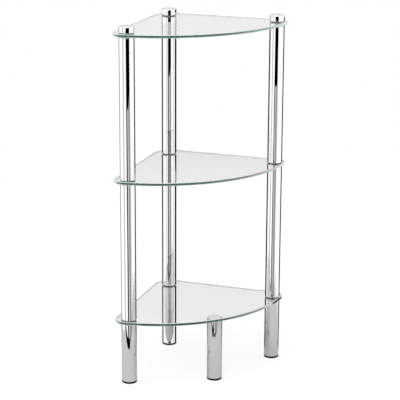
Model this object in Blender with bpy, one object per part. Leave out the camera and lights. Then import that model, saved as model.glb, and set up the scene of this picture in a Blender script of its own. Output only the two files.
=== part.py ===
# Corner shelf unit: three quarter-round glass shelves on chromed tube posts, with a fourth leg at the front.
# Units are metres and +Z is up. The back wall lies along +X behind the unit (at +Y), the side wall at -X.
# The origin is on the floor, under the middle of the shelves' outline.

import math

import bmesh
import bpy

# Clearances
FIT_GAP = 0.0003  # between pieces that touch or slide into each other
END_GAP = 0.0005  # left at the bottom of a blind bore

# Glass shelves
GLASS_SIDE = 0.228  # radius of the curved front about the corner of the two walls
GLASS_THICK = 0.005
GLASS_ARRIS = 0.0006  # ground bevel along the plate's edges
BACK_RADIUS = 0.028  # rounding of the corner that points into the room's corner
TIP_RADIUS = 0.018  # rounding of the two corners at the ends of the curved front

# Where the posts stand
BACK_INSET = 0.025  # back post's axis from both straight edges
TIP_INSET = 0.0235  # left and right posts' axes from their straight edge
TIP_EDGE = 0.0142  # left and right posts' axes from the curved edge
FRONT_EDGE = 0.0135  # front leg's axis from the curved edge, on the diagonal

# Chromed tube
TUBE_OUTER = 0.025
TUBE_WALL = 0.001
TUBE_CHAMFER = 0.0004
TUBE_LENGTH = 0.230  # each upper and lower tube
LEG_LENGTH = 0.100

# Top caps
CAP_HEIGHT = 0.010
CAP_ROUND = 0.0010
CAP_TOP_WALL = 0.0025

# Feet
FOOT_HEIGHT = 0.003
FOOT_CHAMFER = 0.0006
FOOT_SPIGOT = 0.014  # how far the foot reaches into the leg
FOOT_WALL = 0.0016
FOOT_TAPER = 0.0008

# Studs, the plugs that they screw into, and the grommets that keep them off the glass
STUD_DIAMETER = 0.008
STUD_CHAMFER = 0.0008
STUD_REACH = 0.014  # how far a stud goes into a plug
PLUG_LENGTH = 0.016
SLEEVE_WALL = 0.0014
FLANGE_THICK = 0.0006
FLANGE_SETBACK = 0.0005  # how far a flange's rim stays inside the tube's outline

# Disc bonded under the lowest shelf, which holds the front leg
DISC_THICK = 0.003

# Facets round each kind of piece
TUBE_FACETS = 32
INSIDE_FACETS = 16
STUD_FACETS = 12
HOLE_FACETS = 24
CORNER_FACETS = 9
FRONT_FACETS = 26
ROUND_FACETS = 3

MERGE_DISTANCE = 0.000001
SHARP_ANGLE = math.radians(32)  # steeper edges are shaded sharp
ARRIS_ANGLE = math.radians(60)  # steeper edges of a shelf are ground

# Sizes that follow
TUBE_RADIUS = TUBE_OUTER / 2
TUBE_BORE = TUBE_RADIUS - TUBE_WALL
PLUG_RADIUS = TUBE_BORE - FIT_GAP
STUD_RADIUS = STUD_DIAMETER / 2
THREAD_BORE = STUD_RADIUS + FIT_GAP
SLEEVE_RADIUS = THREAD_BORE + SLEEVE_WALL
HOLE_RADIUS = SLEEVE_RADIUS + FIT_GAP
DRILL_LENGTH = 3 * GLASS_THICK  # passes well clear of both faces
FLANGE_RADIUS = TUBE_RADIUS - FLANGE_SETBACK
SEAT = FIT_GAP + FLANGE_THICK + FIT_GAP  # from a tube's end to the glass
CAP_BORE = CAP_HEIGHT - CAP_TOP_WALL
CAP_REACH = CAP_BORE - END_GAP  # how far a stud goes into a cap

TIP_CENTRE = math.sqrt((GLASS_SIDE - TIP_RADIUS) ** 2 - TIP_RADIUS ** 2)
HALF_OUTLINE = (TIP_CENTRE + TIP_RADIUS) / 2

# Heights, from the floor up
LEG_BASE = FOOT_HEIGHT + FIT_GAP
LEG_TOP = LEG_BASE + LEG_LENGTH
BOTTOM_GLASS = LEG_TOP + SEAT
LOWER_BASE = BOTTOM_GLASS + GLASS_THICK + SEAT
MIDDLE_GLASS = LOWER_BASE + TUBE_LENGTH + SEAT
UPPER_BASE = MIDDLE_GLASS + GLASS_THICK + SEAT
TOP_GLASS = UPPER_BASE + TUBE_LENGTH + SEAT
CAP_BASE = TOP_GLASS + GLASS_THICK + SEAT


# A point given by its distances along and away from the back wall, measured from the walls' corner
def from_corner(along, away):
    return (along - HALF_OUTLINE, HALF_OUTLINE - away)


TIP_REACH = math.sqrt((GLASS_SIDE - TIP_EDGE) ** 2 - TIP_INSET ** 2)
FRONT_REACH = (GLASS_SIDE - FRONT_EDGE) * math.sqrt(0.5)

POSTS = {
    "left": from_corner(TIP_INSET, TIP_REACH),
    "back": from_corner(BACK_INSET, BACK_INSET),
    "right": from_corner(TIP_REACH, TIP_INSET),
}
FRONT_POINT = from_corner(FRONT_REACH, FRONT_REACH)


def clear_scene():
    for item in list(bpy.data.objects):
        bpy.data.objects.remove(item, do_unlink=True)


def make_finish(name, color, metallic, roughness, transmission=0.0):
    finish = bpy.data.materials.new(name)
    finish.use_nodes = True
    shader = finish.node_tree.nodes["Principled BSDF"]
    shader.inputs["Base Color"].default_value = (*color, 1.0)
    shader.inputs["Metallic"].default_value = metallic
    shader.inputs["Roughness"].default_value = roughness
    shader.inputs["Transmission Weight"].default_value = transmission
    finish.diffuse_color = (*color, 1.0)
    return finish


def place(name, bm, finish, parent, location=(0.0, 0.0, 0.0)):
    mesh = bpy.data.meshes.new(name)
    bm.to_mesh(mesh)
    bm.free()
    mesh.shade_smooth()
    mesh.set_sharp_from_angle(angle=SHARP_ANGLE)
    item = bpy.data.objects.new(name, mesh)
    bpy.context.collection.objects.link(item)
    if finish:
        mesh.materials.append(finish)
    item.parent = parent
    item.location = location
    return item


# Turns a profile of (radius, height) points about Z; one that starts and ends on the axis stays open
def turn(profile, facets):
    bm = bmesh.new()
    points = [bm.verts.new((radius, 0.0, height)) for radius, height in profile]
    for first, second in zip(points, points[1:]):
        bm.edges.new((first, second))
    if profile[0][0] > 0.0:
        bm.edges.new((points[-1], points[0]))
    bmesh.ops.spin(
        bm, geom=bm.verts[:] + bm.edges[:], cent=(0, 0, 0), axis=(0, 0, 1), angle=2 * math.pi, steps=facets
    )
    bmesh.ops.remove_doubles(bm, verts=bm.verts[:], dist=MERGE_DISTANCE)
    bmesh.ops.recalc_face_normals(bm, faces=bm.faces[:])
    return bm


# Points of an arc, with angles in degrees
def arc(centre, radius, start, end, facets):
    points = []
    for step in range(facets + 1):
        angle = math.radians(start + (end - start) * step / facets)
        points.append((centre[0] + radius * math.cos(angle), centre[1] + radius * math.sin(angle)))
    return points


def shelf_outline():
    tip_angle = math.degrees(math.atan2(TIP_RADIUS, TIP_CENTRE))
    back = arc((BACK_RADIUS, BACK_RADIUS), BACK_RADIUS, 180, 270, CORNER_FACETS)
    right = arc((TIP_CENTRE, TIP_RADIUS), TIP_RADIUS, -90, 0, CORNER_FACETS)
    front = arc((0, 0), GLASS_SIDE, tip_angle, 90 - tip_angle, FRONT_FACETS)
    left = arc((TIP_RADIUS, TIP_CENTRE), TIP_RADIUS, 90, 180, CORNER_FACETS)
    outline = back + right + front + left
    return [from_corner(along, away) for along, away in outline]


# The three drills that cut one shelf's holes
def shelf_drills(name, parent):
    bm = bmesh.new()
    for x, y in POSTS.values():
        drill = bmesh.ops.create_cone(
            bm,
            cap_ends=True,
            segments=HOLE_FACETS,
            radius1=HOLE_RADIUS,
            radius2=HOLE_RADIUS,
            depth=DRILL_LENGTH,
        )
        bmesh.ops.translate(bm, verts=drill["verts"], vec=(x, y, GLASS_THICK / 2))
    drills = place(name, bm, None, parent)
    drills.hide_render = True
    drills.display_type = "WIRE"
    return drills


def shelf(name, level, finish, parent):
    bm = bmesh.new()
    base = bm.faces.new([bm.verts.new((x, y, 0.0)) for x, y in shelf_outline()])
    lifted = bmesh.ops.extrude_face_region(bm, geom=[base])["geom"]
    lifted_points = [item for item in lifted if isinstance(item, bmesh.types.BMVert)]
    bmesh.ops.translate(bm, verts=lifted_points, vec=(0, 0, GLASS_THICK))
    bmesh.ops.recalc_face_normals(bm, faces=bm.faces[:])
    plate = place(name, bm, finish, parent, (0, 0, level))
    arris = plate.modifiers.new("arris", "BEVEL")
    arris.width = GLASS_ARRIS
    arris.segments = 1
    arris.limit_method = "ANGLE"
    arris.angle_limit = ARRIS_ANGLE
    holes = plate.modifiers.new("holes", "BOOLEAN")
    holes.operation = "DIFFERENCE"
    holes.object = shelf_drills(name + "_drills", plate)
    return plate


def tube_profile(length):
    return [
        (TUBE_BORE, 0),
        (TUBE_RADIUS - TUBE_CHAMFER, 0),
        (TUBE_RADIUS, TUBE_CHAMFER),
        (TUBE_RADIUS, length - TUBE_CHAMFER),
        (TUBE_RADIUS - TUBE_CHAMFER, length),
        (TUBE_BORE, length),
    ]


def plug_profile():
    return [(THREAD_BORE, 0), (PLUG_RADIUS, 0), (PLUG_RADIUS, PLUG_LENGTH), (THREAD_BORE, PLUG_LENGTH)]


def stud_profile(length):
    return [
        (0, 0),
        (STUD_RADIUS - STUD_CHAMFER, 0),
        (STUD_RADIUS, STUD_CHAMFER),
        (STUD_RADIUS, length - STUD_CHAMFER),
        (STUD_RADIUS - STUD_CHAMFER, length),
        (0, length),
    ]


# A soft sleeve through the glass with a flange on each face; height 0 is the glass's underside
def grommet_profile():
    low = -FIT_GAP
    high = GLASS_THICK + FIT_GAP
    return [
        (THREAD_BORE, low - FLANGE_THICK),
        (FLANGE_RADIUS, low - FLANGE_THICK),
        (FLANGE_RADIUS, low),
        (SLEEVE_RADIUS, low),
        (SLEEVE_RADIUS, high),
        (FLANGE_RADIUS, high),
        (FLANGE_RADIUS, high + FLANGE_THICK),
        (THREAD_BORE, high + FLANGE_THICK),
    ]


def cap_profile():
    rim = arc((TUBE_RADIUS - CAP_ROUND, CAP_HEIGHT - CAP_ROUND), CAP_ROUND, 90, 0, ROUND_FACETS)
    return [
        (0, CAP_HEIGHT),
        *rim,
        (TUBE_RADIUS, TUBE_CHAMFER),
        (TUBE_RADIUS - TUBE_CHAMFER, 0),
        (THREAD_BORE, 0),
        (THREAD_BORE, CAP_BORE),
        (0, CAP_BORE),
    ]


# A black cap with a hollow spigot that is pushed into the leg
def foot_profile():
    top = FOOT_HEIGHT + FOOT_SPIGOT
    inner = PLUG_RADIUS - FOOT_WALL
    return [
        (0, 0),
        (TUBE_RADIUS - FOOT_CHAMFER, 0),
        (TUBE_RADIUS, FOOT_CHAMFER),
        (TUBE_RADIUS, FOOT_HEIGHT),
        (PLUG_RADIUS, FOOT_HEIGHT),
        (PLUG_RADIUS, top - FOOT_TAPER),
        (PLUG_RADIUS - FOOT_TAPER, top),
        (inner, top),
        (inner, FOOT_HEIGHT),
        (0, FOOT_HEIGHT),
    ]


# A disc with a stud under it; height 0 is the disc's bonded face
def disc_profile():
    end = -DISC_THICK - FIT_GAP - STUD_REACH
    return [
        (0, 0),
        (PLUG_RADIUS, 0),
        (PLUG_RADIUS, -DISC_THICK),
        (STUD_RADIUS, -DISC_THICK),
        (STUD_RADIUS, end + STUD_CHAMFER),
        (STUD_RADIUS - STUD_CHAMFER, end),
        (0, end),
    ]


# A thin ring between the front leg's rim and the glass
def washer_profile():
    return [(TUBE_BORE, 0), (FLANGE_RADIUS, 0), (FLANGE_RADIUS, FLANGE_THICK), (TUBE_BORE, FLANGE_THICK)]


def build_leg(side, point, plug_top, finishes, parent):
    leg = turn(tube_profile(LEG_LENGTH), TUBE_FACETS)
    place("leg_" + side, leg, finishes["chrome"], parent, (*point, LEG_BASE))
    foot = turn(foot_profile(), TUBE_FACETS)
    place("foot_" + side, foot, finishes["black"], parent, (*point, 0))
    plug = turn(plug_profile(), INSIDE_FACETS)
    place("plug_leg_" + side, plug, finishes["nylon"], parent, (*point, plug_top - PLUG_LENGTH))


def build_tube(name, side, point, base, finishes, parent):
    tube = turn(tube_profile(TUBE_LENGTH), TUBE_FACETS)
    place(name + "_tube_" + side, tube, finishes["chrome"], parent, (*point, base))
    for end, height in (("foot", base), ("head", base + TUBE_LENGTH - PLUG_LENGTH)):
        plug = turn(plug_profile(), INSIDE_FACETS)
        place("plug_" + name + "_" + end + "_" + side, plug, finishes["nylon"], parent, (*point, height))


# The grommet in one shelf and the stud that clamps what is above the glass to what is below it
def build_joint(name, side, point, glass, reach_above, finishes, parent):
    grommet = turn(grommet_profile(), INSIDE_FACETS)
    place("grommet_" + name + "_" + side, grommet, finishes["clear"], parent, (*point, glass))
    length = STUD_REACH + SEAT + GLASS_THICK + SEAT + reach_above
    stud = turn(stud_profile(length), STUD_FACETS)
    place("stud_" + name + "_" + side, stud, finishes["zinc"], parent, (*point, glass - SEAT - STUD_REACH))


def build_post(side, point, finishes, parent):
    build_leg(side, point, LEG_TOP, finishes, parent)
    build_joint("bottom", side, point, BOTTOM_GLASS, STUD_REACH, finishes, parent)
    build_tube("lower", side, point, LOWER_BASE, finishes, parent)
    build_joint("middle", side, point, MIDDLE_GLASS, STUD_REACH, finishes, parent)
    build_tube("upper", side, point, UPPER_BASE, finishes, parent)
    build_joint("top", side, point, TOP_GLASS, CAP_REACH, finishes, parent)
    cap = turn(cap_profile(), TUBE_FACETS)
    place("cap_" + side, cap, finishes["chrome"], parent, (*point, CAP_BASE))


def build_front_leg(finishes, parent):
    disc_face = BOTTOM_GLASS - FIT_GAP
    build_leg("front", FRONT_POINT, disc_face - DISC_THICK - FIT_GAP, finishes, parent)
    disc = turn(disc_profile(), INSIDE_FACETS)
    place("bond_disc_front", disc, finishes["zinc"], parent, (*FRONT_POINT, disc_face))
    washer = turn(washer_profile(), TUBE_FACETS)
    place("washer_front", washer, finishes["clear"], parent, (*FRONT_POINT, LEG_TOP + FIT_GAP))


def build_unit():
    clear_scene()
    finishes = {
        "glass": make_finish("clear_glass", (0.86, 0.93, 0.91), 0.0, 0.02, 1.0),
        "chrome": make_finish("chrome", (0.88, 0.89, 0.90), 1.0, 0.05),
        "black": make_finish("black_plastic", (0.012, 0.012, 0.013), 0.0, 0.45),
        "clear": make_finish("clear_soft_plastic", (0.88, 0.90, 0.90), 0.0, 0.25, 0.9),
        "nylon": make_finish("white_nylon", (0.78, 0.77, 0.73), 0.0, 0.5),
        "zinc": make_finish("zinc_plated_steel", (0.62, 0.63, 0.65), 1.0, 0.3),
    }
    unit = bpy.data.objects.new("corner_shelf_unit", None)
    bpy.context.collection.objects.link(unit)
    for name, level in (("bottom", BOTTOM_GLASS), ("middle", MIDDLE_GLASS), ("top", TOP_GLASS)):
        shelf("glass_" + name, level, finishes["glass"], unit)
    for side, point in POSTS.items():
        build_post(side, point, finishes, unit)
    build_front_leg(finishes, unit)


build_unit()
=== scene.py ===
import math

import bmesh
import bpy
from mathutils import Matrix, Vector


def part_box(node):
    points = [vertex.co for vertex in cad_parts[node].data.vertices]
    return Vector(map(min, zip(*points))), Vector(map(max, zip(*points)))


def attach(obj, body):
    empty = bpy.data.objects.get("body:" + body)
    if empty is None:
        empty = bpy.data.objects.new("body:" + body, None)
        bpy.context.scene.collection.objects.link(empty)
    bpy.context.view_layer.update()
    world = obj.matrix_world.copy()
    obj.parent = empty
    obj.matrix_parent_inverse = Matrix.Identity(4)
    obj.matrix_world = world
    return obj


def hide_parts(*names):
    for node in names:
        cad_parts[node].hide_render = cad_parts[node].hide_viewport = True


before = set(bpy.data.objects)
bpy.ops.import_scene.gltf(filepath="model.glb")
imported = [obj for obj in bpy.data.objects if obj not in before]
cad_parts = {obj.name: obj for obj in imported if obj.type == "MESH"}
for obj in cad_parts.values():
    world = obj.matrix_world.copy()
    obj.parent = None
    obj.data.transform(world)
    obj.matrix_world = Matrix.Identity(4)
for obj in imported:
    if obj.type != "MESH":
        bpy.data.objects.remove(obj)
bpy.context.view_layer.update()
scene = bpy.context.scene
scene.view_settings.view_transform = "Standard"
# light runs far inside the glass before it leaves by an edge
lightBounces = 32
scene.cycles.max_bounces = lightBounces
scene.cycles.glossy_bounces = lightBounces
scene.cycles.transmission_bounces = lightBounces
print("frame loaded,", len(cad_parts), "nodes")


# a socket, or a whole tree where there is none yet, so that maths on sockets reads as plain sums
class Wire:
    def __init__(self, tree, socket=None):
        self.tree = tree
        self.socket = socket

    # settings are set first, then the sockets get their values or links
    def make(self, kind, settings=None, sockets=None, out=0):
        node = self.tree.nodes.new(kind)
        for name, value in (settings or {}).items():
            if name == "stops":
                self.setStops(node.color_ramp, value)
            else:
                setattr(node, name, value)
        for name, value in (sockets or {}).items():
            if isinstance(value, Wire):
                self.tree.links.new(value.socket, node.inputs[name])
            else:
                node.inputs[name].default_value = value
        return Wire(self.tree, node.outputs[out] if node.outputs else None)

    def setStops(self, ramp, stops):
        while len(ramp.elements) < len(stops):
            ramp.elements.new(1.0)
        for element, (position, colour) in zip(ramp.elements, stops):
            element.position = position
            element.color = (*colour, 1.0)

    def math(self, operation, first, second=0.0):
        return self.make("ShaderNodeMath", {"operation": operation}, {0: first, 1: second})

    def __add__(self, other):
        return self.math("ADD", self, other)

    def __radd__(self, other):
        return self.math("ADD", other, self)

    def __sub__(self, other):
        return self.math("SUBTRACT", self, other)

    def __rsub__(self, other):
        return self.math("SUBTRACT", other, self)

    def __mul__(self, other):
        return self.math("MULTIPLY", self, other)

    def __rmul__(self, other):
        return self.math("MULTIPLY", other, self)

    def __truediv__(self, other):
        return self.math("DIVIDE", self, other)


# materials

def startFinish(name):
    finish = bpy.data.materials.new(name)
    finish.use_nodes = True
    finish.node_tree.nodes.clear()
    return finish, Wire(finish.node_tree)


def endFinish(start, shader):
    start.make("ShaderNodeOutputMaterial", sockets={"Surface": shader})


def principled(start, sockets):
    return start.make("ShaderNodeBsdfPrincipled", sockets=sockets)


def mixed(start, share, first, second):
    return start.make("ShaderNodeMixShader", sockets={0: share, 1: first, 2: second})


# noise on Object coordinates, drawn out along Z where upright is under 1
def grain(start, scale, detail=2.0, upright=1.0):
    spot = start.make("ShaderNodeTexCoord", out="Object")
    spread = start.make("ShaderNodeVectorMath", {"operation": "MULTIPLY"}, {0: spot, 1: (1.0, 1.0, upright)})
    return start.make("ShaderNodeTexNoise", sockets={"Vector": spread, "Scale": scale, "Detail": detail})


# sockets 6 and 7 of the Mix node are its two colours, and output 2 the mixed one
def blend(start, share, low, high):
    sockets = {0: share, 6: (*low, 1.0), 7: (*high, 1.0)}
    return start.make("ShaderNodeMix", {"data_type": "RGBA"}, sockets, out=2)


def relief(start, pattern, depth, strength=1.0):
    sockets = {"Height": pattern, "Distance": depth, "Strength": strength}
    return start.make("ShaderNodeBump", sockets=sockets)


chromeLook = {
    "bright": (0.965, 0.967, 0.970),
    "dull": (0.925, 0.932, 0.940),
    "gloss": 0.018,
    "haze": 0.030,
    "cloudScale": 28.0,
    "cloudUpright": 0.5,
    "polishScale": 900.0,  # fine polishing lines along each tube
    "polishUpright": 0.02,
    "rippleScale": 45.0,  # slow ripple of the drawn tube
    "rippleUpright": 0.35,
    "rippleDepth": 0.000004,
}


def chromeFinish():
    finish, start = startFinish("chromePlate")
    polish = grain(start, chromeLook["polishScale"], upright=chromeLook["polishUpright"])
    clouds = grain(start, chromeLook["cloudScale"], detail=3.0, upright=chromeLook["cloudUpright"])
    ripple = grain(start, chromeLook["rippleScale"], detail=1.0, upright=chromeLook["rippleUpright"])
    endFinish(start, principled(start, {
        "Base Color": blend(start, clouds * clouds, chromeLook["bright"], chromeLook["dull"]),
        "Metallic": 1.0,
        "Roughness": chromeLook["gloss"] + chromeLook["haze"] * polish * clouds,
        "Normal": relief(start, ripple, chromeLook["rippleDepth"]),
    }))
    return finish


glassLook = {
    "clear": (0.950, 0.940, 0.944),
    "tinted": (0.938, 0.928, 0.932),
    "cloudScale": 9.0,
    "index": 1.52,
    "absorbed": (0.30, 0.68, 0.55),  # green of the glass, which shows along its length
    "density": 5.0,
    "grindScale": 1400.0,  # marks of the grinding on edges, arrises and holes
    "grindDepth": 0.00002,
}


def endGlass(start, shader):
    depth = start.make("ShaderNodeVolumeAbsorption", sockets={
        "Color": (*glassLook["absorbed"], 1.0), "Density": glassLook["density"]
    })
    start.make("ShaderNodeOutputMaterial", sockets={"Surface": shader, "Volume": depth})


def clearGlass(start, clouds):
    return principled(start, {
        "Base Color": blend(start, clouds, glassLook["clear"], glassLook["tinted"]),
        "Roughness": 0.0,
        "IOR": glassLook["index"],
        "Transmission Weight": 1.0,
    })


def glassFaceFinish():
    finish, start = startFinish("clearGlassFace")
    endGlass(start, clearGlass(start, grain(start, glassLook["cloudScale"])))
    return finish


arrisLook = {
    "white": (0.94, 1.00, 0.98),
    "green": (0.84, 0.95, 0.91),
    "cloudScale": 40.0,
    "gloss": 0.25,
    "roughening": 0.2,
    "seeThrough": 0.35,
    "grindStrength": 0.4,
}


def glassArrisFinish():
    finish, start = startFinish("paleGlassArris")
    clouds = grain(start, arrisLook["cloudScale"])
    grind = grain(start, glassLook["grindScale"])
    endGlass(start, principled(start, {
        "Base Color": blend(start, clouds, arrisLook["white"], arrisLook["green"]),
        "Roughness": arrisLook["gloss"] + arrisLook["roughening"] * grind,
        "IOR": glassLook["index"],
        "Transmission Weight": arrisLook["seeThrough"],
        "Normal": relief(start, grind, glassLook["grindDepth"], arrisLook["grindStrength"]),
    }))
    return finish


edgeLook = {
    "deep": (0.014, 0.082, 0.062),
    "pale": (0.026, 0.108, 0.085),
    "cloudScale": 22.0,
    "seeThrough": 0.20,  # share of the polished edge that lets light through
    "farClear": 0.80,  # share of clear glass in an edge that is seen from inside
    "slantBlend": 0.5,
    "glossPower": 1.5,  # how late the gloss sets in as the edge turns away, and how strong it is
    "gloss": 1.6,
    "grindUpright": 0.05,
    "grindStrength": 0.3,
}


def glassEdgeFinish():
    finish, start = startFinish("greenGlassEdge")
    clouds = grain(start, edgeLook["cloudScale"])
    grind = grain(start, glassLook["grindScale"], upright=edgeLook["grindUpright"])
    bumps = relief(start, grind, glassLook["grindDepth"], edgeLook["grindStrength"])
    ground = principled(start, {
        "Base Color": blend(start, clouds, edgeLook["deep"], edgeLook["pale"]),
        "Roughness": 0.0,
        "IOR": glassLook["index"],
        "Transmission Weight": edgeLook["seeThrough"],
        "Normal": bumps,
    })
    clear = clearGlass(start, clouds)
    polish = principled(start, {
        "Base Color": blend(start, clouds, arrisLook["white"], arrisLook["green"]),
        "Metallic": 1.0,
        "Roughness": 0.0,
        "Normal": bumps,
    })
    inside = start.make("ShaderNodeNewGeometry", out="Backfacing")
    slant = start.make("ShaderNodeLayerWeight", sockets={"Blend": edgeLook["slantBlend"]}, out="Facing")
    gloss = start.math("POWER", slant, edgeLook["glossPower"]) * edgeLook["gloss"] * (1.0 - inside)
    wall = mixed(start, inside * edgeLook["farClear"], ground, clear)
    endGlass(start, mixed(start, gloss, wall, polish))
    return finish


holeLook = {
    "ground": (0.62, 0.72, 0.69),  # drilled, unpolished hole wall
    "gloss": 0.35,
    "roughening": 0.2,
    "seeThrough": 0.7,
    "grindStrength": 0.6,
}


def glassHoleFinish():
    finish, start = startFinish("groundGlassHole")
    grind = grain(start, glassLook["grindScale"])
    endGlass(start, principled(start, {
        "Base Color": blend(start, grind, holeLook["ground"], glassLook["clear"]),
        "Roughness": holeLook["gloss"] + holeLook["roughening"] * grind,
        "IOR": glassLook["index"],
        "Transmission Weight": holeLook["seeThrough"],
        "Normal": relief(start, grind, glassLook["grindDepth"], holeLook["grindStrength"]),
    }))
    return finish


blackLook = {
    "deep": (0.004, 0.004, 0.004),
    "worn": (0.012, 0.012, 0.012),
    "cloudScale": 60.0,
    "gloss": 0.50,
    "roughening": 0.2,
    "shine": 0.06,
    "pebbleScale": 1600.0,
    "pebbleDepth": 0.00003,
    "pebbleStrength": 0.5,
}


def blackFinish():
    finish, start = startFinish("blackFootPlastic")
    clouds = grain(start, blackLook["cloudScale"], detail=3.0)
    pebble = grain(start, blackLook["pebbleScale"])
    endFinish(start, principled(start, {
        "Base Color": blend(start, clouds, blackLook["deep"], blackLook["worn"]),
        "Roughness": blackLook["gloss"] + blackLook["roughening"] * clouds,
        "Specular IOR Level": blackLook["shine"],
        "Normal": relief(start, pebble, blackLook["pebbleDepth"], blackLook["pebbleStrength"]),
    }))
    return finish


softLook = {
    "clear": (0.88, 0.90, 0.90),
    "cloudy": (0.78, 0.81, 0.81),
    "cloudScale": 160.0,
    "gloss": 0.16,
    "roughening": 0.2,
    "index": 1.49,
    "seeThrough": 0.70,
}


def softFinish():
    finish, start = startFinish("clearSoftPlastic")
    clouds = grain(start, softLook["cloudScale"], detail=3.0)
    endFinish(start, principled(start, {
        "Base Color": blend(start, clouds, softLook["clear"], softLook["cloudy"]),
        "Roughness": softLook["gloss"] + softLook["roughening"] * clouds,
        "IOR": softLook["index"],
        "Transmission Weight": softLook["seeThrough"],
    }))
    return finish


nylonLook = {
    "white": (0.80, 0.79, 0.75),
    "shade": (0.72, 0.71, 0.66),
    "cloudScale": 120.0,
    "gloss": 0.42,
    "roughening": 0.15,
    "skinScale": 900.0,
    "skinDepth": 0.00003,
    "skinStrength": 0.4,
}


def nylonFinish():
    finish, start = startFinish("whiteNylonPlug")
    clouds = grain(start, nylonLook["cloudScale"], detail=3.0)
    skin = grain(start, nylonLook["skinScale"])
    endFinish(start, principled(start, {
        "Base Color": blend(start, clouds, nylonLook["white"], nylonLook["shade"]),
        "Roughness": nylonLook["gloss"] + nylonLook["roughening"] * skin,
        "Normal": relief(start, skin, nylonLook["skinDepth"], nylonLook["skinStrength"]),
    }))
    return finish


zincLook = {
    "bright": (0.70, 0.71, 0.73),
    "blue": (0.56, 0.59, 0.63),
    "cloudScale": 260.0,
    "gloss": 0.24,
    "roughening": 0.2,
}


def zincFinish():
    finish, start = startFinish("zincSteel")
    clouds = grain(start, zincLook["cloudScale"], detail=3.0)
    endFinish(start, principled(start, {
        "Base Color": blend(start, clouds, zincLook["bright"], zincLook["blue"]),
        "Metallic": 1.0,
        "Roughness": zincLook["gloss"] + zincLook["roughening"] * clouds,
    }))
    return finish


# polished face of the bonded disc
brightLook = {
    "bright": (0.95, 0.95, 0.95),
    "swirl": (0.90, 0.90, 0.91),
    "swirlScale": 700.0,
    "gloss": 0.04,
    "roughening": 0.05,
}


def brightFinish():
    finish, start = startFinish("polishedDiscSteel")
    swirl = grain(start, brightLook["swirlScale"])
    endFinish(start, principled(start, {
        "Base Color": blend(start, swirl, brightLook["bright"], brightLook["swirl"]),
        "Metallic": 1.0,
        "Roughness": brightLook["gloss"] + brightLook["roughening"] * swirl,
    }))
    return finish


finishes = {
    "chrome": chromeFinish(),
    "bright": brightFinish(),
    "glassFace": glassFaceFinish(),
    "glassEdge": glassEdgeFinish(),
    "glassArris": glassArrisFinish(),
    "glassHole": glassHoleFinish(),
    "black": blackFinish(),
    "soft": softFinish(),
    "nylon": nylonFinish(),
    "zinc": zincFinish(),
}
print("materials made,", len(finishes))


# places and sizes from the frame

def middle(node):
    low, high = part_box(node)
    return (low + high) / 2


def height(node):
    low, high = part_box(node)
    return high.z - low.z


def radius(node):
    low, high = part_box(node)
    return (high.x - low.x) / 2


def base(node):
    point = middle(node)
    point.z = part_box(node)[0].z
    return point


sides = ("left", "back", "right")
levels = ("bottom", "middle", "top")
legSides = (*sides, "front")


# the mesh as its modifiers leave it, with large faces keeping their own shade
def settle(holder):
    even = holder.modifiers.new("evenShade", "WEIGHTED_NORMAL")
    even.keep_sharp = True
    graph = bpy.context.evaluated_depsgraph_get()
    mesh = bpy.data.meshes.new_from_object(
        holder.evaluated_get(graph), preserve_all_data_layers=True, depsgraph=graph
    )
    holder.modifiers.clear()
    holder.data = mesh
    mesh.name = holder.name


def handOver(piece, node):
    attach(piece, "root")
    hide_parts(node)


# bmesh pieces

weldDistance = 0.000001


# a profile of (radius, height) points turned about Z; one that starts and ends on the axis stays open
def turned(profile, facets):
    bm = bmesh.new()
    points = [bm.verts.new((reach, 0.0, level)) for reach, level in profile]
    for first, second in zip(points, points[1:]):
        bm.edges.new((first, second))
    if profile[0][0] > 0.0:
        bm.edges.new((points[-1], points[0]))
    bmesh.ops.spin(
        bm, geom=bm.verts[:] + bm.edges[:], cent=(0, 0, 0), axis=(0, 0, 1), angle=2 * math.pi, steps=facets
    )
    bmesh.ops.remove_doubles(bm, verts=bm.verts[:], dist=weldDistance)
    bmesh.ops.recalc_face_normals(bm, faces=bm.faces[:])
    return bm


# points of an arc, from one angle in degrees to another
def bend(centre, size, start, end, steps):
    points = []
    for step in range(steps + 1):
        angle = math.radians(start + (end - start) * step / steps)
        points.append((centre[0] + size * math.cos(angle), centre[1] + size * math.sin(angle)))
    return points


def place(bm, name, point, finishNames):
    bmesh.ops.translate(bm, verts=bm.verts[:], vec=point)
    mesh = bpy.data.meshes.new(name)
    bm.to_mesh(mesh)
    bm.free()
    for finishName in finishNames:
        mesh.materials.append(finishes[finishName])
    holder = bpy.data.objects.new(name, mesh)
    scene.collection.objects.link(holder)
    return holder


# a piece that is smooth all over, but for edges sharper than an angle in degrees
def placeSmooth(bm, name, point, finishNames, sharpAngle):
    for face in bm.faces:
        face.smooth = True
    piece = place(bm, name, point, finishNames)
    piece.data.set_sharp_from_angle(angle=math.radians(sharpAngle))
    settle(piece)
    return piece


# glass shelves

shelfGlass = {
    "tipRadius": 0.018,
    "backRadius": 0.028,
    "arris": 0.0009,
    "arrisSteps": 3,
    "frontFacets": 120,
    "cornerFacets": 20,
    "holeFacets": 48,
    "holeGap": 0.0003,  # between a hole and the sleeve in it
    "finishes": ("glassFace", "glassEdge", "glassArris", "glassHole"),
}


# the quarter round, drawn in by an inset that keeps all its arcs concentric
def shelfOutline(low, high, inset):
    width = high.x - low.x
    tip = shelfGlass["tipRadius"]
    back = shelfGlass["backRadius"]
    tipReach = width - tip
    front = tip + math.hypot(tipReach, tip)
    tipAngle = math.degrees(math.atan2(tip, tipReach))
    corner = shelfGlass["cornerFacets"]
    outline = bend((back, back), back - inset, 180, 270, corner)
    outline += bend((tipReach, tip), tip - inset, -90, tipAngle, corner)
    outline += bend((0, 0), front - inset, tipAngle, 90 - tipAngle, shelfGlass["frontFacets"])[1:-1]
    outline += bend((tip, tipReach), tip - inset, 90 - tipAngle, 180, corner)
    return [(low.x + along, high.y - away) for along, away in outline]


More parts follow.
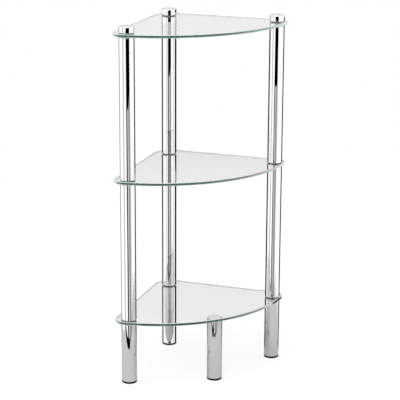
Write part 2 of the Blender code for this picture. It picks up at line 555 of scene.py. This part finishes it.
# insets and heights of the edge's profile, from the lower face to the upper one
def edgeSteps(thick):
    arris = shelfGlass["arris"]
    steps = shelfGlass["arrisSteps"]
    lower = bend((arris, arris), arris, 270, 180, steps)
    upper = bend((arris, thick - arris), arris, 180, 90, steps)
    return lower + upper


# walls between loops of points, with one finish for the wall and one for the arris on both sides of it
def ringWall(bm, loops, wallIndex, arrisIndex):
    rings = [[bm.verts.new(point) for point in loop] for loop in loops]
    for step, (lower, upper) in enumerate(zip(rings, rings[1:])):
        finishIndex = wallIndex if step == shelfGlass["arrisSteps"] else arrisIndex
        for index in range(len(lower)):
            after = (index + 1) % len(lower)
            face = bm.faces.new((lower[index], lower[after], upper[after], upper[index]))
            face.material_index = finishIndex
            face.smooth = True
    return rings[0], rings[-1]


def loopEdges(bm, ring):
    return [bm.edges.get((ring[index - 1], ring[index])) for index in range(len(ring))]


def shelfPlate(level):
    node = "glass_" + level
    low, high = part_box(node)
    flat, edge, arris, drilled = range(len(shelfGlass["finishes"]))
    bm = bmesh.new()
    steps = edgeSteps(high.z - low.z)
    outer = [[(x, y, low.z + rise) for x, y in shelfOutline(low, high, inset)] for inset, rise in steps]
    rims = [ringWall(bm, outer, edge, arris)]
    for side in sides:
        centre = middle("stud_" + level + "_" + side)
        hole = holeRadius + shelfGlass["holeGap"]
        loops = []
        for inset, rise in steps:
            circle = bend((centre.x, centre.y), hole + inset, 0, 360, shelfGlass["holeFacets"])[:-1]
            loops.append([(x, y, low.z + rise) for x, y in circle])
        rims.append(ringWall(bm, loops, drilled, drilled))
    for end in (0, 1):
        edges = [line for rim in rims for line in loopEdges(bm, rim[end])]
        filled = bmesh.ops.triangle_fill(bm, use_beauty=True, edges=edges)["geom"]
        for item in filled:
            if isinstance(item, bmesh.types.BMFace):
                item.material_index = flat
                item.smooth = False
    bmesh.ops.recalc_face_normals(bm, faces=bm.faces[:])
    piece = place(bm, "shelf_glass_" + level, (0, 0, 0), shelfGlass["finishes"])
    settle(piece)
    handOver(piece, node)


# clear grommets

grommetShape = {
    "wall": 0.0014,
    "flange": 0.0006,
    "gap": 0.0003,
    "rim": 0.0002,
    "rimSteps": 4,
    "facets": 64,
    "sharpAngle": 40,
}
studRadius = radius("stud_bottom_left")
threadBore = studRadius + grommetShape["gap"]
holeRadius = threadBore + grommetShape["wall"]


def grommet(level, side):
    node = "grommet_" + level + "_" + side
    tall = height(node)
    flange = grommetShape["flange"]
    rim = grommetShape["rim"]
    steps = grommetShape["rimSteps"]
    reach = radius(node) - rim
    profile = [(threadBore, 0), *bend((reach, rim), rim, -90, 90, steps)]
    profile += [(reach, flange), (holeRadius, flange)]
    profile += [(holeRadius, tall - flange), (reach, tall - flange)]
    profile += [*bend((reach, tall - rim), rim, -90, 90, steps), (threadBore, tall)]
    bm = turned(profile, grommetShape["facets"])
    piece = placeSmooth(bm, "soft_" + node, base(node), ("soft",), grommetShape["sharpAngle"])
    handOver(piece, node)


# chromed caps

capShape = {
    "round": 0.0010,
    "roundSteps": 6,
    "crown": 0.00015,  # how far the top rises to its middle
    "crownReach": 0.45,  # share of the radius at which the next share of that rise is lost
    "crownDrop": 0.2,
    "lip": 0.0004,
    "lipSteps": 3,
    "topWall": 0.0025,
    "facets": 128,
    "sharpAngle": 40,
}


def cap(side):
    node = "cap_" + side
    tall = height(node)
    wide = radius(node)
    rim = capShape["round"]
    lip = capShape["lip"]
    crown = capShape["crown"]
    shoulder = tall - crown
    bore = tall - capShape["topWall"]
    profile = [(0, tall), (wide * capShape["crownReach"], tall - crown * capShape["crownDrop"])]
    profile += bend((wide - rim, shoulder - rim), rim, 90, 0, capShape["roundSteps"])
    profile += bend((wide - lip, lip), lip, 0, -90, capShape["lipSteps"])
    profile += [(threadBore, 0), (threadBore, bore), (0, bore)]
    bm = turned(profile, capShape["facets"])
    piece = placeSmooth(bm, "chrome_" + node, base(node), ("chrome",), capShape["sharpAngle"])
    handOver(piece, node)


# black feet

footShape = {
    "band": 0.0030,  # what shows under the leg
    "round": 0.0006,
    "roundSteps": 4,
    "shoulder": 0.0003,
    "shoulderSteps": 2,
    "wall": 0.0016,
    "taper": 0.0008,
    "grooveInner": 0.0060,  # shallow ring moulded into the underside
    "grooveOuter": 0.0085,
    "grooveDepth": 0.0005,
    "legWall": 0.0013,  # leg's wall and its gap to the spigot
    "facets": 96,
    "sharpAngle": 35,
}


def foot(side):
    node = "foot_" + side
    tall = height(node)
    wide = radius(node)
    band = footShape["band"]
    spigot = wide - footShape["legWall"]
    inner = spigot - footShape["wall"]
    rim = footShape["round"]
    shoulder = footShape["shoulder"]
    taper = footShape["taper"]
    deep = footShape["grooveDepth"]
    profile = [(0, 0), (footShape["grooveInner"], 0), (footShape["grooveInner"] + deep, deep)]
    profile += [(footShape["grooveOuter"] - deep, deep), (footShape["grooveOuter"], 0)]
    profile += bend((wide - rim, rim), rim, -90, 0, footShape["roundSteps"])
    profile += bend((wide - shoulder, band - shoulder), shoulder, 0, 90, footShape["shoulderSteps"])
    profile += [(spigot, band), (spigot, tall - taper), (spigot - taper, tall)]
    profile += [(inner, tall), (inner, band), (0, band)]
    bm = turned(profile, footShape["facets"])
    piece = placeSmooth(bm, "black_" + node, base(node), ("black",), footShape["sharpAngle"])
    handOver(piece, node)


# Geometry Nodes trees

def startTree(name, inputs):
    tree = bpy.data.node_groups.new(name, "GeometryNodeTree")
    for label, kind in inputs.items():
        tree.interface.new_socket(label, in_out="INPUT", socket_type="NodeSocket" + kind)
    tree.interface.new_socket("Geometry", in_out="OUTPUT", socket_type="NodeSocketGeometry")
    entry = tree.nodes.new("NodeGroupInput")
    return Wire(tree), {label: Wire(tree, entry.outputs[label]) for label in inputs}


def endTree(start, shape, given):
    smooth = start.make("GeometryNodeSetShadeSmooth", sockets={"Geometry": shape})
    whole = start.make("GeometryNodeRealizeInstances", sockets={"Geometry": smooth})
    dressed = start.make("GeometryNodeSetMaterial", sockets={"Geometry": whole, "Material": given["Finish"]})
    start.make("NodeGroupOutput", sockets={"Geometry": dressed})
    return start.tree


# each point's distance from the axis, its angle about it and its height
def polar(start):
    point = start.make("GeometryNodeInputPosition")
    split = start.make("ShaderNodeSeparateXYZ", sockets={"Vector": point}).socket.node
    x, y, z = (Wire(start.tree, split.outputs[axis]) for axis in "XYZ")
    reach = start.math("SQRT", x * x + y * y)
    return reach, start.math("ARCTAN2", y, x), z


def polarPoint(start, reach, angle, level):
    x = reach * start.math("COSINE", angle)
    y = reach * start.math("SINE", angle)
    return start.make("ShaderNodeCombineXYZ", sockets={"X": x, "Y": y, "Z": level})


def lift(start, shape, given):
    return start.make("GeometryNodeTransform", sockets={"Geometry": shape, "Translation": given["Place"]})


lipSteps = 3


# a round tube with rolled lips, whose outer wall may have ribs along it
def tubeTree():
    start, given = startTree("tube", {
        "Inner Radius": "Float",
        "Outer Radius": "Float",
        "Length": "Float",
        "Lip": "Float",
        "Facets": "Int",
        "Ribs": "Float",
        "Rib Depth": "Float",
        "Place": "Vector",
        "Finish": "Material",
    })
    inner = given["Inner Radius"]
    outer = given["Outer Radius"]
    core = (inner + outer) / 2
    section = start.make(
        "GeometryNodeCurvePrimitiveQuadrilateral", sockets={"Width": outer - inner, "Height": given["Length"]}
    )
    lips = start.make("GeometryNodeFilletCurve", {"mode": "POLY"}, {
        "Curve": section, "Count": lipSteps, "Radius": given["Lip"]
    })
    path = start.make(
        "GeometryNodeCurvePrimitiveCircle", sockets={"Resolution": given["Facets"], "Radius": core}
    )
    wall = start.make("GeometryNodeCurveToMesh", sockets={"Curve": path, "Profile Curve": lips})
    reach, angle, level = polar(start)
    crest = 0.5 + 0.5 * start.math("COSINE", angle * given["Ribs"])
    outside = start.math("GREATER_THAN", reach, core)
    drawn = reach - given["Rib Depth"] * outside * (1.0 - crest)
    ribbed = start.make("GeometryNodeSetPosition", sockets={
        "Geometry": wall, "Position": polarPoint(start, drawn, angle, level + given["Length"] / 2)
    })
    return endTree(start, lift(start, ribbed, given), given)


wholeTurns = 100.0  # added to a thread's turns, so that their fraction is taken above zero


# a stud whose thread winds round it once in each pitch
def studTree():
    start, given = startTree("threadedStud", {
        "Radius": "Float",
        "Length": "Float",
        "Pitch": "Float",
        "Thread Depth": "Float",
        "Chamfer": "Float",
        "Facets": "Int",
        "Rings": "Int",
        "Place": "Vector",
        "Finish": "Material",
    })
    rod = start.make("GeometryNodeMeshCylinder", {"fill_type": "NGON"}, {
        "Vertices": given["Facets"],
        "Side Segments": given["Rings"],
        "Radius": given["Radius"],
        "Depth": given["Length"],
    })
    reach, angle, level = polar(start)
    turn = start.math("FRACT", level / given["Pitch"] - angle / (2 * math.pi) + wholeTurns)
    groove = 1.0 - start.math("ABSOLUTE", turn * 2.0 - 1.0)
    toEnd = given["Length"] / 2 - start.math("ABSOLUTE", level)
    cut = start.math("MAXIMUM", given["Chamfer"] - toEnd, 0.0)
    shape = given["Radius"] - start.math("MAXIMUM", given["Thread Depth"] * groove, cut)
    wound = start.make("GeometryNodeSetPosition", sockets={
        "Geometry": rod, "Position": polarPoint(start, shape, angle, level + given["Length"] / 2)
    })
    return endTree(start, lift(start, wound, given), given)


# one plain mesh from a tree, with its sizes set by socket identifier before it is first evaluated
def grow(name, tree, sizes):
    holder = bpy.data.objects.new(name, bpy.data.meshes.new(name))
    modifier = holder.modifiers.new("grow", "NODES")
    modifier.node_group = tree
    for item in tree.interface.items_tree:
        if item.in_out == "INPUT":
            modifier[item.identifier] = sizes[item.name]
    scene.collection.objects.link(holder)
    settle(holder)
    return holder


tubeGroup = tubeTree()
studGroup = studTree()


def growTube(name, node, inner, shape, finishName):
    return grow(name, tubeGroup, {
        "Inner Radius": inner,
        "Outer Radius": radius(node),
        "Length": height(node),
        "Lip": shape["lip"],
        "Facets": shape["facets"],
        "Ribs": shape["ribs"],
        "Rib Depth": shape["ribDepth"],
        "Place": base(node),
        "Finish": finishes[finishName],
    })


tubeShape = {"wall": 0.0010, "lip": 0.0004, "facets": 128, "ribs": 0.0, "ribDepth": 0.0}


def chromeTube(node):
    piece = growTube("chrome_" + node, node, radius(node) - tubeShape["wall"], tubeShape, "chrome")
    handOver(piece, node)


plugShape = {"lip": 0.0004, "facets": 96, "ribs": 12.0, "ribDepth": 0.0006}


def plug(node):
    piece = growTube("nylon_" + node, node, threadBore, plugShape, "nylon")
    handOver(piece, node)


washerShape = {"lip": grommetShape["rim"], "facets": tubeShape["facets"], "ribs": 0.0, "ribDepth": 0.0}


def washer(node):
    piece = growTube("soft_" + node, node, radius("leg_front") - tubeShape["wall"], washerShape, "soft")
    handOver(piece, node)


studShape = {"pitch": 0.00125, "threadDepth": 0.00060, "chamfer": 0.0008, "facets": 24, "ringsPerPitch": 4}


def growStud(name, length, point):
    return grow(name, studGroup, {
        "Radius": studRadius,
        "Length": length,
        "Pitch": studShape["pitch"],
        "Thread Depth": studShape["threadDepth"],
        "Chamfer": studShape["chamfer"],
        "Facets": studShape["facets"],
        "Rings": round(length / studShape["pitch"] * studShape["ringsPerPitch"]),
        "Place": point,
        "Finish": finishes["zinc"],
    })


def stud(node):
    piece = growStud("zinc_" + node, height(node), base(node))
    handOver(piece, node)


discShape = {"thick": 0.003, "round": 0.0003, "roundSteps": 3, "facets": 64, "sharpAngle": 40}


# the disc under the lowest shelf, with the front leg's stud under it
def bondDisc(node):
    wide = radius(node)
    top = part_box(node)[1].z
    thick = discShape["thick"]
    rim = discShape["round"]
    steps = discShape["roundSteps"]
    profile = [(0, 0), *bend((wide - rim, -rim), rim, 90, 0, steps)]
    profile += [*bend((wide - rim, rim - thick), rim, 0, -90, steps), (0, -thick)]
    bm = turned(profile, discShape["facets"])
    point = middle(node)
    bmesh.ops.translate(bm, verts=bm.verts[:], vec=(point.x, point.y, top))
    shank = growStud("shank", height(node) - thick, base(node))
    bm.from_mesh(shank.data)
    bpy.data.objects.remove(shank)
    for face in bm.faces:
        face.material_index = 0 if face.calc_center_median().z > top - thick / 2 else 1
    piece = placeSmooth(bm, "zinc_" + node, (0, 0, 0), ("bright", "zinc"), discShape["sharpAngle"])
    handOver(piece, node)


for level in levels:
    shelfPlate(level)
print("glass shelves made")
for side in sides:
    cap(side)
    chromeTube("upper_tube_" + side)
    chromeTube("lower_tube_" + side)
for side in legSides:
    chromeTube("leg_" + side)
    foot(side)
    plug("plug_leg_" + side)
print("posts, legs and feet made")
for side in sides:
    for level in levels:
        grommet(level, side)
        stud("stud_" + level + "_" + side)
    for tube in ("upper", "lower"):
        for end in ("foot", "head"):
            plug("plug_" + tube + "_" + end + "_" + side)
bondDisc("bond_disc_front")
washer("washer_front")
print("joints made")


# camera, at the angle that the photograph is taken from

cameraView = {
    "aim": (-0.00276, 0.00276, 0.29471),
    "distance": 2.562,
    "azimuth": 19.04,
    "elevation": 15.96,
    "roll": 0.27,
    "sensor": 36.0,
    "focal": 3.8745,  # focal length in widths of the picture
    "clipEnd": 100.0,
}


def setCamera():
    data = bpy.data.cameras.new("camera")
    data.sensor_width = cameraView["sensor"]
    data.lens = data.sensor_width * cameraView["focal"]
    data.clip_end = cameraView["clipEnd"]
    eye = bpy.data.objects.new("camera", data)
    scene.collection.objects.link(eye)
    turnAngle = math.radians(cameraView["azimuth"])
    rise = math.radians(cameraView["elevation"])
    flat = math.cos(rise)
    back = Vector((math.sin(turnAngle) * flat, -math.cos(turnAngle) * flat, math.sin(rise)))
    eye.location = Vector(cameraView["aim"]) + back * cameraView["distance"]
    eye.rotation_euler = (-back).to_track_quat("-Z", "Y").to_euler()
    eye.rotation_euler.rotate_axis("Z", math.radians(cameraView["roll"]))
    scene.camera = eye


setCamera()


# studio: a pale floor, soft light from all round, and boards that only show in the polished surfaces

plainWhite = (1.0, 1.0, 1.0, 1.0)
studio = {
    "floorSize": 7.0,
    "floorWhite": 0.80,  # share of plain white in the floor that the camera sees
    "floorPlain": (0.70, 1.30),  # distances from the middle between which that share becomes the whole
    "floorPaintedShade": (0.48, 0.48, 0.48),  # painted shade: the paper is darker under and round the unit, standing in for the unit's shade, as the legs show it
    "floorFar": (0.88, 0.88, 0.88),  # the same paper farther out, without the painted shade
    "floorShadeFade": (0.38, 0.55),  # distances from the middle over which the painted shade fades into the paler paper
    "paperBack": -0.08,  # the paper's back and front edges, as distances towards the camera
    "paperFront": 0.283,
    "edgeStarts": (0.232, 0.262),  # where the dark front edge begins on the left and on the right
    "edgeTones": ((0.0, 0.0, 0.0), (0.12, 0.12, 0.12)),
    "edgeTurn": (-0.08, -0.04),  # distances across the view between which one turns into the other
    "tableShine": (0.97, 0.97, 0.97),  # the polished table beyond the paper
    "noMirror": 0.5,  # a ray with fewer mirrorings than these has had none yet, or one at most
    "oneMirror": 1.5,
    "ambient": 0.85,
    "softboxSize": 2.0,
    "softboxPower": 30.0,
    "softboxPlace": (-0.5, 0.6, 2.3),  # across, towards the camera, up
    "softboxAim": (0.0, 0.0, 0.3),
}


# a place given by its distance across the view, towards the camera and up
def studioSpot(across, towards, up):
    turnAngle = math.radians(cameraView["azimuth"])
    right = Vector((math.cos(turnAngle), math.sin(turnAngle), 0.0))
    near = Vector((math.sin(turnAngle), -math.cos(turnAngle), 0.0))
    return right * across + near * towards + Vector((0.0, 0.0, up))


def lightPath(start, *outputs):
    path = start.make("ShaderNodeLightPath").socket.node
    return [Wire(start.tree, path.outputs[name]) for name in outputs]


def glow(start, colour):
    return start.make("ShaderNodeEmission", sockets={"Color": colour, "Strength": 1.0})


# from a low value to 1 as a distance crosses a span
def crossing(start, distance, span, low=0.0):
    near, far = span
    return start.make("ShaderNodeMapRange", sockets={
        "Value": distance, "From Min": near, "From Max": far, "To Min": low, "To Max": 1.0
    })


def setWorld():
    world = bpy.data.worlds.new("studio")
    world.use_nodes = True
    world.node_tree.nodes.clear()
    start = Wire(world.node_tree)
    camera, glossy, through = lightPath(start, "Is Camera Ray", "Is Glossy Ray", "Is Transmission Ray")
    seen = start.math("MAXIMUM", start.math("MAXIMUM", camera, glossy), through)
    light, white = (
        start.make("ShaderNodeBackground", sockets={"Color": plainWhite, "Strength": strength})
        for strength in (studio["ambient"], 1.0)
    )
    start.make("ShaderNodeOutputWorld", sockets={"Surface": mixed(start, seen, light, white)})
    scene.world = world


# how far a point of the floor lies in a direction of the studio
def reachAlong(start, spot, way):
    sockets = {0: spot, 1: studioSpot(*way)}
    return start.make("ShaderNodeVectorMath", {"operation": "DOT_PRODUCT"}, sockets, out="Value")


# matte paper under the unit, darkened near it by painted shade; in mirrors it has a dark front edge and a
# polished table beyond it
def paperAndTable(start, spot, away, mirrored):
    across = reachAlong(start, spot, (1.0, 0.0, 0.0))
    towards = reachAlong(start, spot, (0.0, 1.0, 0.0))
    # where the painted shade fades out, which is also where the paper gives way to the table
    fade = crossing(start, away, studio["floorShadeFade"])
    turn = crossing(start, across, studio["edgeTurn"])
    left, right = studio["edgeStarts"]
    ahead = start.math("GREATER_THAN", towards, studio["paperFront"])
    behind = start.math("LESS_THAN", towards, studio["paperBack"])
    edge = start.math("GREATER_THAN", towards, left + (right - left) * turn) * (1.0 - ahead) * mirrored
    beyond = start.math("MAXIMUM", fade, start.math("MAXIMUM", ahead, behind)) * mirrored
    # painted shade: the paper's tone darkens towards the unit as if in its shade
    tone = blend(start, fade, studio["floorPaintedShade"], studio["floorFar"])
    paper = start.make("ShaderNodeBsdfDiffuse", sockets={"Color": tone})
    shine = (*studio["tableShine"], 1.0)
    table = start.make("ShaderNodeBsdfGlossy", sockets={"Color": shine, "Roughness": 0.0})
    rim = glow(start, blend(start, turn, *studio["edgeTones"]))
    return mixed(start, edge, mixed(start, beyond, paper, table), rim)


# plain white to the camera and straight through the glass, with the unit's shadow on it
def floorFinish():
    finish, start = startFinish("paleFloor")
    camera, through, count = lightPath(start, "Is Camera Ray", "Is Transmission Ray", "Glossy Depth")
    mirrored = start.math("GREATER_THAN", count, studio["noMirror"])
    seen = start.math("MAXIMUM", camera, through * (1.0 - mirrored))
    spot = start.make("ShaderNodeTexCoord", out="Object")
    away = start.make("ShaderNodeVectorMath", {"operation": "LENGTH"}, {0: spot}, out="Value")
    paper = paperAndTable(start, spot, away, mirrored)
    pale = start.make("ShaderNodeBsdfDiffuse", sockets={"Color": plainWhite})
    share = crossing(start, away, studio["floorPlain"], studio["floorWhite"])
    lit = mixed(start, share, pale, glow(start, plainWhite))
    endFinish(start, mixed(start, seen, paper, lit))
    return finish


# a board's tone, which stays clear where the glass alone would show it
def boardFinish(name, tone):
    finish, start = startFinish(name)
    outputs = ("Is Transmission Ray", "Is Reflection Ray", "Is Singular Ray", "Glossy Depth")
    through, mirror, sharp, count = lightPath(start, *outputs)
    throughGlass = through * start.math("LESS_THAN", count, studio["noMirror"])
    offGlass = mirror * sharp * start.math("LESS_THAN", count, studio["oneMirror"])
    share = start.math("MAXIMUM", throughGlass, offGlass)
    clear = start.make("ShaderNodeBsdfTransparent")
    endFinish(start, mixed(start, share, glow(start, (tone, tone, tone, 1.0)), clear))
    return finish


def backdropFinish():
    finish, start = startFinish("gradedBackdrop")
    spot = start.make("ShaderNodeTexCoord", out="Object")
    level = start.make("ShaderNodeSeparateXYZ", sockets={"Vector": spot}, out="Z")
    stops = [(rise, (tone, tone, tone)) for rise, tone in backdropTones]
    endFinish(start, glow(start, start.make("ShaderNodeValToRGB", {"stops": stops}, {"Fac": level})))
    return finish


def stageSheet(name, corners, finish):
    mesh = bpy.data.meshes.new(name)
    mesh.from_pydata(corners, [], [(0, 1, 2, 3)])
    mesh.materials.append(finish)
    sheet = bpy.data.objects.new(name, mesh)
    scene.collection.objects.link(sheet)
    return sheet


# lines on plan, heights and a tone that several boards share
panelBack = -0.20
panelTop = 1.3
panelTone = 1.06
frontLine = 0.73
frontCorner = (0.450, 0.63)  # where the front boards turn back to the right panel
frontSplit = 0.316  # the black flag stands above this height, and the grey boards below it
rearLine = -0.600
rearTop = 0.52
# each upright board: its two ends on plan as (across, towards), lower and upper edge, and tone
boards = {
    "whitePanelLeft": ((-0.42, panelBack), (-0.275, 0.72), 0.0, panelTop, panelTone),
    "whitePanelRight": ((0.458, panelBack), (0.435, frontLine), frontSplit, panelTop, panelTone),
    "whitePanelRightLow": ((0.458, panelBack), frontCorner, 0.0, frontSplit, panelTone),
    "greySeamLeft": ((-0.352, 0.20), (-0.339, 0.28), 0.0, panelTop, 0.45),
    "blackFlagFront": ((-0.272, 0.725), (0.440, 0.735), frontSplit, 0.85, 0.0),
    "greyBoardFront1": ((-0.272, frontLine), (-0.070, frontLine), 0.0, frontSplit, 0.0),
    "greyBoardFront2": ((-0.070, frontLine), (0.060, frontLine), 0.0, frontSplit, 0.78),
    "greyBoardFront3": ((0.060, frontLine), (0.250, frontLine), 0.0, frontSplit, 0.26),
    "greyBoardFront4": ((0.250, frontLine), (0.440, frontLine), 0.0, frontSplit, 0.40),
    "greyBoardFront5": ((0.440, frontLine), frontCorner, 0.0, frontSplit, 0.40),
    "blackFlagRearLeft": ((-0.450, -0.250), (-0.150, rearLine), 0.0, rearTop, 0.02),
    "blackFlagRearRight": ((0.600, -0.245), (0.150, rearLine), 0.0, rearTop, 0.0),
}
# these also show through a shelf, to the metal above it
throughBoards = [name for name in boards if name.startswith(("black", "greyBoard"))]
# the board behind, which the shelves mirror: its ends and edges, and tones at heights up it
backdrop = ((-1.2, -1.6), (1.2, -1.6), 0.0, 1.8)
backdropTones = ((0.60, 0.33), (0.70, 0.42), (0.74, 0.52), (0.77, 0.62), (0.81, 0.66), (0.835, 0.77))


def uprightCorners(first, second, low, high):
    lower = [studioSpot(*first, low), studioSpot(*second, low)]
    return lower + [studioSpot(*second, high), studioSpot(*first, high)]


def setBoards():
    sheets = [stageSheet("backdrop", uprightCorners(*backdrop), backdropFinish())]
    for name, (*shape, tone) in boards.items():
        sheets.append(stageSheet(name, uprightCorners(*shape), boardFinish(name, tone)))
    for sheet in sheets:
        sheet.visible_transmission = sheet.name in throughBoards
        sheet.visible_camera = False
        sheet.visible_diffuse = False
        sheet.visible_shadow = False


def setSoftbox():
    data = bpy.data.lights.new("softbox", "AREA")
    data.shape = "SQUARE"
    data.size = studio["softboxSize"]
    data.energy = studio["softboxPower"]
    softbox = bpy.data.objects.new("softbox", data)
    softbox.location = studioSpot(*studio["softboxPlace"])
    aim = Vector(studio["softboxAim"]) - softbox.location
    softbox.rotation_euler = aim.to_track_quat("-Z", "Y").to_euler()
    scene.collection.objects.link(softbox)


def setStudio():
    half = studio["floorSize"] / 2
    corners = [(-half, -half, 0.0), (half, -half, 0.0), (half, half, 0.0), (-half, half, 0.0)]
    stageSheet("floor", corners, floorFinish())
    setBoards()
    setSoftbox()


setWorld()
setStudio()
print("studio made")
